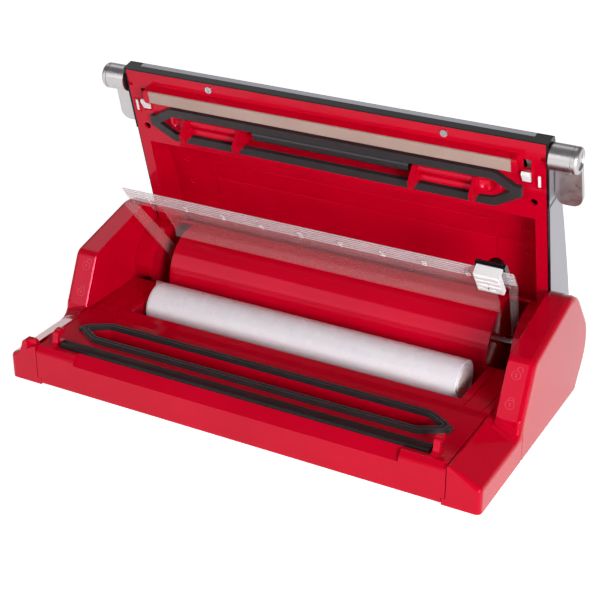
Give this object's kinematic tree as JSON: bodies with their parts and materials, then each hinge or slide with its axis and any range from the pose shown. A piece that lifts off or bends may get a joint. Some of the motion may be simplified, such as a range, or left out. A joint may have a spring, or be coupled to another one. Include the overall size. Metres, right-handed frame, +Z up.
{
  "type": "vacuum sealer",
  "caption": "Countertop vacuum sealer with a hinged lid, side lock handles, film roll trough and a clear cover that carries a sliding cutter, shown open.",
  "frame": {"origin": "centre of the footprint at the level the feet rest on, lid open", "axes": "+X to the right of a person using it, +Y to its back, +Z up"},
  "size_m": [0.414, 0.2344, 0.2282],
  "materials": {
    "red_gloss": "moulded glossy red ABS",
    "black_rubber": "matte silicone and foam",
    "black_plastic": "moulded black ABS",
    "panel_metal": "brushed",
    "chrome": "polished plating",
    "steel": "turned",
    "clear": "clear moulded plastic",
    "white_plastic": "moulded",
    "film": "wound translucent film",
    "card": "cardboard tube",
    "tape": "woven non-stick tape",
    "winding": "laminations and winding",
    "board": "printed circuit board",
    "lamp": "translucent lens"
  },
  "bodies": {
    "base": {"base_deck": "red_gloss", "arm_left": "red_gloss", "arm_right": "red_gloss", "rear_drum": "red_gloss", "base_pan": "black_plastic", "feet": "black_rubber", "pan_screws": "steel", "deck_gasket": "black_rubber", "seal_strip": "black_rubber", "catches": "red_gloss", "hinge_pins": "steel", "vacuum_pump": "black_plastic", "pump_motor": "steel", "transformer": "winding", "circuit_board": "board", "mains_inlet": "black_plastic", "vacuum_hose": "white_plastic"},
    "film": {"film_roll": "film", "roll_core": "card"},
    "cover": {"clear_cover": "clear"},
    "cutter": {"cutter_carriage": "white_plastic", "cutter_knob": "black_plastic", "cutter_blade": "steel"},
    "lid": {"lid_inner": "red_gloss", "lid_shell": "black_plastic", "lid_panel": "panel_metal", "lid_gasket": "black_rubber", "bar_platform": "red_gloss", "heating_bar": "tape", "bar_clamps": "red_gloss", "clip_inserts": "red_gloss", "bridge_bar": "black_plastic", "plate_screws": "steel", "lamp_lens": "lamp", "control_board": "board", "lid_tabs": "white_plastic"},
    "handle": {"handle_shaft": "steel", "handle_left": "chrome", "handle_right": "chrome", "latch_hooks": "white_plastic"},
    "seal_key": {"seal_button": "chrome"},
    "vacuum_key": {"vacuum_button": "chrome"}
  },
  "joints": [
    {"name": "lid_hinge", "type": "hinge", "parent": "base", "child": "lid", "pos_m": [0, 0.06935, 0.03856], "axis": [1, 0, 0], "range_deg": [0, 75.58]},
    {"name": "cover_hinge", "type": "hinge", "parent": "base", "child": "cover", "pos_m": [0, 0.06935, 0.03856], "axis": [1, 0, 0], "range_deg": [0, 51.2]},
    {"name": "cutter_slide", "type": "slide", "parent": "cover", "child": "cutter", "axis": [-1, 0, 0], "range_m": [0, 0.31]},
    {"name": "roll_spin", "type": "hinge", "parent": "base", "child": "film", "pos_m": [0, 0.00906, 0.0261], "axis": [1, 0, 0], "continuous": true},
    {"name": "handle_turn", "type": "hinge", "parent": "lid", "child": "handle", "pos_m": [0, 0.04081, 0.21357], "axis": [-1, 0, 0], "range_deg": [0, 22]},
    {"name": "seal_press", "type": "slide", "parent": "lid", "child": "seal_key", "axis": [0, -0.8908, -0.4543], "range_m": [0, 0.0012], "stiffness_N_per_m": 500},
    {"name": "vacuum_press", "type": "slide", "parent": "lid", "child": "vacuum_key", "axis": [0, -0.8908, -0.4543], "range_m": [0, 0.0012], "stiffness_N_per_m": 500}
  ],
  "couplings": [
    {"joint": "cover_hinge", "follows": "lid_hinge", "ratio": 0.6748}
  ]
}
